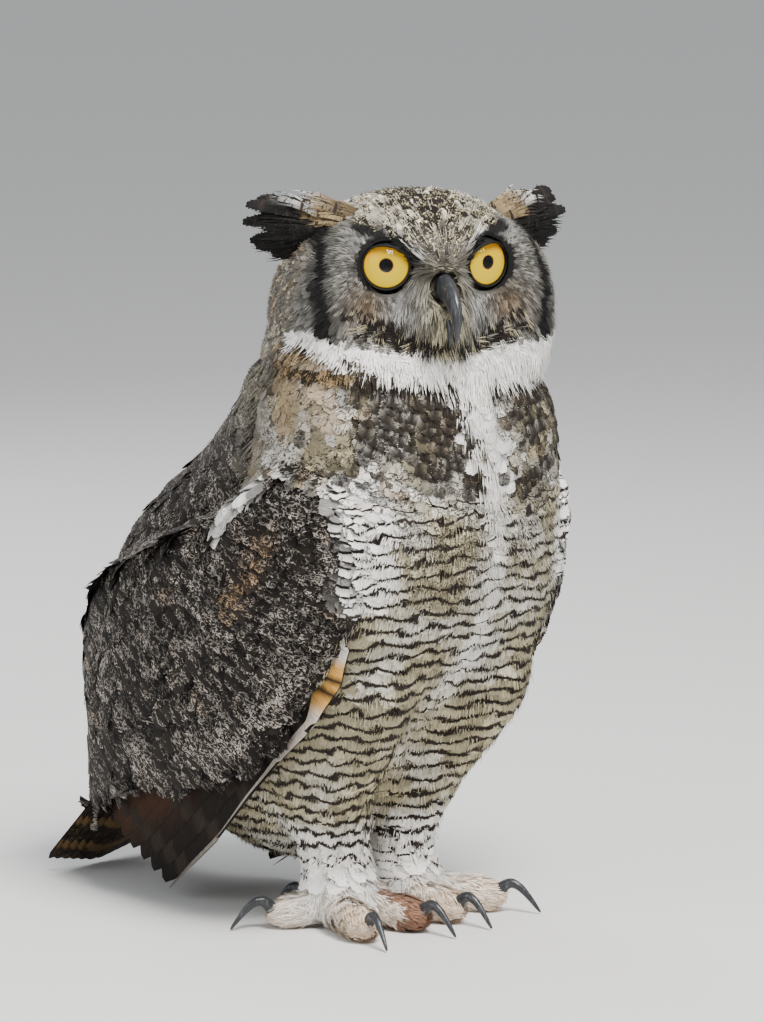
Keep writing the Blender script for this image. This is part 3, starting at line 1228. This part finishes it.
# ==== Ear tufts ====
# The horns that name the bird: long black feathers with buff and white inner webs, laid out sideways from
# the brow.

TUFT_ROOT = np.array((0.034, 0.026, 0.050))
TUFT_RUN = np.array((0.0590, -0.031, 0.0030))  # from the root to the tip
TUFT_HALF_HEIGHT = 0.0150
TUFT_FEATHERS = 96
TUFT_PATTERN = (0.0150, 0.12, 0.60)
tufts = Coat("ear_tuft_feathers", "dark_plumage")
dice = np.random.default_rng(61)
broad_vanes = [contour_vane(12, 0.22, 0.7, 62 + seed, point=1.5) for seed in range(4)]
soft_vanes = [strand_tuft(6, 0.95, 66 + seed, 0.075, points=5) for seed in range(4)]
for side in (1.0, -1.0):
    for k in range(TUFT_FEATHERS):
        spread = -1 + 2 * ((k * 0.5698) % 1.0)  # from the tuft's lower edge to its upper one
        begin = 0.62 * ((k * 0.7549 + 0.1) % 1.0)  # how far out along the tuft it is rooted
        reach = min(begin + dice.uniform(0.30, 0.48), 1.02 - 0.05 * spread**2)
        soft = k % 5 > 1
        depth = dice.uniform(-1.0, 1.0) + (0.5 if soft else 0.0)
        root_rise = spread * TUFT_HALF_HEIGHT * 0.72 * (1.0 - 0.30 * begin)
        tip_rise = spread * TUFT_HALF_HEIGHT * (1.12 - 0.10 * reach) + dice.normal(0, 0.0012)
        start, end = (
            HEAD_TO_WORLD @ ((TUFT_ROOT + TUFT_RUN * place + (0.0, deep * depth, up)) * (side, 1.0, 1.0))
            + head_middle
            for place, deep, up in ((begin, 0.0035, root_rise), (reach, 0.0045, tip_rise)))
        forwards = unit(end - start)
        upright = HEAD_TO_WORLD @ np.array((0.30 * side, 1.0, 0.45 * spread))
        upright = unit(upright - forwards * (upright @ forwards))
        sidewards = np.cross(forwards, upright)
        sidewards *= np.sign(sidewards[2])
        flat, faces = (soft_vanes if soft else broad_vanes)[k % 4]
        size, wide = np.linalg.norm(end - start), 0.0105 if soft else 0.0092
        x, t = flat.T
        arch = 0.0022 * np.sin(np.pi * np.clip(t, 0, 1)) * (0.4 + spread)
        bow = 0.12 * wide * (2 * x) ** 2
        places = (start + forwards * (t * size)[:, None] + sidewards * (x * wide)[:, None]
                  + columns(0.0, 0.0, arch) + upright * (0.0011 * depth - bow)[:, None])
        normals = unit(upright + sidewards * (1.3 * x + 0.35 * spread)[:, None] + forwards * 0.2)
        out_along = (begin + (reach - begin) * t + dice.uniform(-0.06, 0.06))[:, None]
        high = (spread + 0.35 * x)[:, None]
        # Black; buff inner webs on top near the head, white tips beyond, cream plumes at the lower root
        ground = np.tile(BLACK * dice.uniform(0.5, 1.8), (len(x), 1))
        buff = fade(high, 0.05, 0.35) * fade(out_along, 0.54, 0.44)
        ground = blend(ground, (BUFF * 0.40 + CREAM * 0.20) * dice.uniform(0.25, 1.05), buff)
        snowy = fade(high, 0.78, 0.95) * spot(out_along - 0.60, 0.16) * (dice.random() < 0.5)
        ground = blend(ground, WHITE * 0.60, snowy)
        plume = fade(high, 0.0, -0.25) * fade(out_along, 0.30, 0.18) * (dice.random() < 0.8)
        ground = blend(ground, CREAM * dice.uniform(0.5, 0.95), plume)
        ground = ground * (0.55 + 0.45 * fade(t, 0.05, 0.6))[:, None]
        pattern = np.array(TUFT_PATTERN) * (1.0, spread > 0.05, 1.0)
        place = np.array((0.5 + 0.4 * side, 0.3 + 0.005 * k)) + PATCH * columns(x, t - 0.5)
        tufts.gather(places[None], faces, normals[None], ground[None], UMBER[None, None],
                     columns(x * wide, (1 - t) * size, dice.random())[None], pattern[None, None], place[None])
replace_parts(tufts.make(), "ear_tuft_left", "ear_tuft_right")

# ==== Flight and tail feathers ====
# Stiff quills under the coverts: the primaries of each wing, stacked one over another with the outermost
# lowest, and the twelve tail feathers, laid flat with the middle pair on top.

FRONT_EDGE = np.array(((0.060, 0.196), (0.062, 0.175), (0.054, 0.150), (0.036, 0.125), (0.0, 0.093),
                       (-0.055, 0.048), (-0.116, 0.006)))
REAR_EDGE = np.array(((0.036, 0.205), (0.018, 0.180), (-0.005, 0.165), (-0.040, 0.145), (-0.080, 0.125),
                      (-0.135, 0.100), (-0.192, 0.056)))
PRIMARIES = 10
QUILL_ROWS = 40
QUILL_WIDTH = 0.024
CHESTNUT = np.array((0.17, 0.062, 0.024))
# Pale outer web of the outermost primary: how far along, and how wide
PALE_WEB = ((0.0, 0.004), (0.12, 0.0055), (0.24, 0.0085), (0.40, 0.0090), (0.47, 0.0052), (0.62, 0.0034),
            (0.80, 0.0022), (1.0, 0.0016))
WEB_BARS = ((0.335, 0.012), (0.385, 0.012), (0.435, 0.010))  # how far along, and half as wide as each is


def quill_vane(rows, shares):
    """A long vane flat: points (across in widths, along 0 to 1) at the shares of its width, and its faces."""
    points = []
    for t in np.arange(rows + 1) / rows:
        round_end = math.sqrt(max(1 - max((t - 0.90) / 0.10, 0.0) ** 2, 0.02))
        narrow = 0.55 + 0.45 * min(t / 0.15, 1.0)
        points += [(share * round_end * narrow, t) for share in shares]
    wide = len(shares)
    faces = [(a, a + 1, a + wide + 1, a + wide) for a in range(rows * wide) if (a + 1) % wide]
    return np.array(points), [np.array(faces)]


def stand_on(tree, side, flat):
    """World places on a folded wing for (forward, up) ones, seen from that side."""
    points = []
    last = 0.09 * side
    for forward, up in flat:
        world = owl_middle + OWL_TO_WORLD @ np.array((side * 0.25, forward, up))
        hit = tree.ray_cast(Vector(world), Vector((-side, 0, 0)))[0]
        if hit is None:
            hit = tree.find_nearest(Vector(owl_middle + OWL_TO_WORLD @ np.array((last, forward, up))))[0]
        last = hit.x
        points.append((last, world[1], world[2]))
    return np.array(points)


def on_edge(knots):
    """Places evenly along the knots of an edge, one for each row of a quill."""
    where, rows = np.linspace(0, 1, len(knots)), np.linspace(0, 1, QUILL_ROWS + 1)
    return columns(*(np.interp(rows, where, side) for side in knots.T))


def add_quill(coat, places, vane, normals, ground, mark, values, pattern, home):
    """One stiff feather, with its own small place on the unwrap round `home`."""
    flat, faces = vane
    coat.gather(places[None], faces, normals[None], ground[None], mark[None, None], values[None],
                np.array(pattern)[None, None], (np.array(home) + PATCH * (flat - (0.0, 0.5)))[None])


quill_finish = plumage("flight_feather", roughness=0.75, striation=0.22)
flight = Coat("flight_feathers", "dark_plumage", quill_finish)
whole_quill = quill_vane(QUILL_ROWS, (-0.22, -0.11, 0.0, 0.16, 0.32, 0.48, 0.64, 0.78))
outer_web = quill_vane(QUILL_ROWS, (0.0, 0.33, 0.67, 1.0))
for side_name, side in SIDES:
    tree = BVHTree.FromObject(nodes[f"primaries_{side_name}"], bpy.context.evaluated_depsgraph_get())
    for number in range(-1, PRIMARIES):  # the pale outer web comes before the quills
        is_web, rank = number < 0, max(number, 0)
        quill = outer_web if is_web else whole_quill
        across, along = quill[0].T
        shaft = blend(on_edge(FRONT_EDGE), on_edge(REAR_EDGE), rank / (PRIMARIES - 1))
        ahead = unit(np.gradient(shaft, axis=0))
        inward = columns(-ahead[:, 1], ahead[:, 0])  # towards the rear edge
        inward *= np.sign((REAR_EDGE[3] - FRONT_EDGE[3]) @ inward[QUILL_ROWS // 2])
        rows = np.repeat(np.arange(QUILL_ROWS + 1), len(along) // (QUILL_ROWS + 1))
        if is_web:
            off = across * edge_line(PALE_WEB, along) - 0.0006
        else:
            off = across * QUILL_WIDTH + 0.0045
        points = stand_on(tree, side, shaft[rows] + inward[rows] * off[:, None])
        points[:, 0] -= side * (0.0036 - 0.00033 * rank - 0.0005 * is_web)
        if is_web:
            orange = np.interp(along, (0.0, 0.22, 0.27, 0.42, 0.47, 1.0), (0.0, 0.0, 1.0, 1.0, 0.25, 0.25))
            barred = np.any([np.abs(along - middle) < half for middle, half in WEB_BARS], axis=0)
            ground = np.where(barred[:, None], UMBER, blend(WHITE, ORANGE, orange[:, None]))
            ground = ground * np.interp(along, (0.0, 0.45, 0.6, 1.0), (1.0, 0.95, 0.5, 0.10))[:, None]
            pattern = (0.02, 0.0, 0.0)
        else:
            rusty = streak(in_owl(points)[:, 1:], 0.014, (-0.080, 0.074), (-0.112, 0.060), (-0.150, 0.042))
            ground = blend(UMBER * 0.45, CHESTNUT, 0.18 * rusty[:, None])
            pattern = (0.021, 0.30, 0.20)
        values = columns(off, (1 - along) * 0.2, 0.13 + 0.61 * (number + 1) % 1.0)
        add_quill(flight, points, quill, unit(columns(side, -0.5 * side * (across - 0.3), 0.0)), ground,
                  BROWN * 0.45, values, pattern, (0.2 + 0.3 * (side > 0), 0.05 + 0.02 * (number + 1)))
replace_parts(flight.make(), "primaries_left", "primaries_right")

TAIL_FEATHERS = 12
TAIL_ROOT = np.array((-0.118, 0.110))
TAIL_RUN = np.array((-0.1035, -0.1058))  # from the root to the tip
TAIL_WIDTH = 0.030  # of one feather
TAIL_SIDE = 0.0405
tail_coat = Coat("tail_feathers", "dark_plumage", quill_finish)
tail_vane = quill_vane(24, (-0.46, -0.30, -0.15, 0.0, 0.18, 0.36, 0.54))
x, t = tail_vane[0].T
down_tail = unit(TAIL_RUN)
over_tail = np.array((-down_tail[1], down_tail[0]))
for number in range(TAIL_FEATHERS):
    pair, side = number // 2, (1.0 if number % 2 else -1.0)
    fan = side * (0.0025 + pair * 0.0052) * (0.8 + 0.45 * t)
    aside = np.clip(fan + x * TAIL_WIDTH * side, -TAIL_SIDE, TAIL_SIDE)
    over = 0.0028 - pair * 0.0010 - 0.03 * np.abs(x) * TAIL_WIDTH
    middle = TAIL_ROOT + TAIL_RUN * t[:, None] * (1 - 0.004 * pair) + over_tail * over[:, None]
    places = owl_middle + columns(aside, *middle.T) @ OWL_TO_WORLD
    normals = unit((0.0, *over_tail) @ OWL_TO_WORLD + columns(x * side * 0.6, 0.0, 0.0))
    add_quill(tail_coat, places, tail_vane, normals, UMBER[None] * 0.9, BUFF * 0.25,
              columns(x * TAIL_WIDTH, (1 - t) * 0.145, 0.07 * number), (0.022, 0.30, 0.45),
              (0.8, 0.05 + 0.02 * number))
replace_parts(tail_coat.make(), "tail")

# ==== Floor, light and camera ====
# A plain pale floor, a large soft lamp over the viewer's right shoulder, a fill and a rim lamp, and a long
# lens at the height of the owl's head.

FLOOR_HALF = 60
VIEW_AZIMUTH, VIEW_ELEVATION = math.radians(-48.0), math.radians(8.0)
VIEW_DISTANCE = 3.0
VIEW_HEIGHT = 0.58254  # how much of the world's height the lens takes in at the owl
SENSOR = 36.0
LOOK_AT = (0.00798, 0.23028)  # to the right of the owl's middle and above it, as the camera sees them

floor_mesh = bpy.data.meshes.new("floor")
floor_mesh.from_pydata([(x * FLOOR_HALF, y * FLOOR_HALF, 0) for x, y in ((-1, -1), (1, -1), (1, 1), (-1, 1))],
                       [], [(0, 1, 2, 3)])
floor_mesh.materials.append(Wiring("pale_floor").finish(Base_Color=(0.74, 0.735, 0.72), Roughness=0.85))
floor = into_scene("floor", floor_mesh)
floor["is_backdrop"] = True

world = bpy.data.worlds.new("soft_room")
world.use_nodes = True
world.node_tree.nodes["Background"].inputs["Color"].default_value = (0.86, 0.88, 0.91, 1.0)
world.node_tree.nodes["Background"].inputs["Strength"].default_value = 0.64
bpy.context.scene.world = world

back = np.array((math.sin(VIEW_AZIMUTH) * math.cos(VIEW_ELEVATION),
                 -math.cos(VIEW_AZIMUTH) * math.cos(VIEW_ELEVATION), math.sin(VIEW_ELEVATION)))
right = unit(np.cross((0, 0, 1.0), back))
over = np.cross(back, right)
target = owl_middle + right * LOOK_AT[0] + over * LOOK_AT[1]
camera = into_scene("camera", bpy.data.cameras.new("camera"))
camera.data.lens = SENSOR * VIEW_DISTANCE / VIEW_HEIGHT
camera.data.clip_start, camera.data.clip_end = 0.1, 150.0
camera.location = target + back * VIEW_DISTANCE
camera.rotation_mode = "QUATERNION"
camera.rotation_quaternion = Matrix((right, over, back)).transposed().to_quaternion()
bpy.context.scene.camera = camera

LAMPS = (  # name, place from the target, size, power and tint
    ("key", 0.55 * right + 1.7 * over + 1.4 * back, 0.9, 108.0, (1.0, 0.985, 0.955)),
    ("fill", -1.6 * right + 0.6 * over + 1.2 * back, 1.2, 12.0, (0.93, 0.96, 1.0)),
    ("rim", -0.8 * right + 1.3 * over - 1.4 * back, 0.9, 16.0, (0.96, 0.98, 1.0)),
)
for name, place, size, power, tint in LAMPS:
    lamp = into_scene(name, bpy.data.lights.new(name, "AREA"))
    lamp.data.size, lamp.data.energy, lamp.data.color = size, power, tint
    lamp.location = target + place
    lamp.rotation_mode = "QUATERNION"
    lamp.rotation_quaternion = Vector(place).to_track_quat("Z", "Y")

low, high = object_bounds()
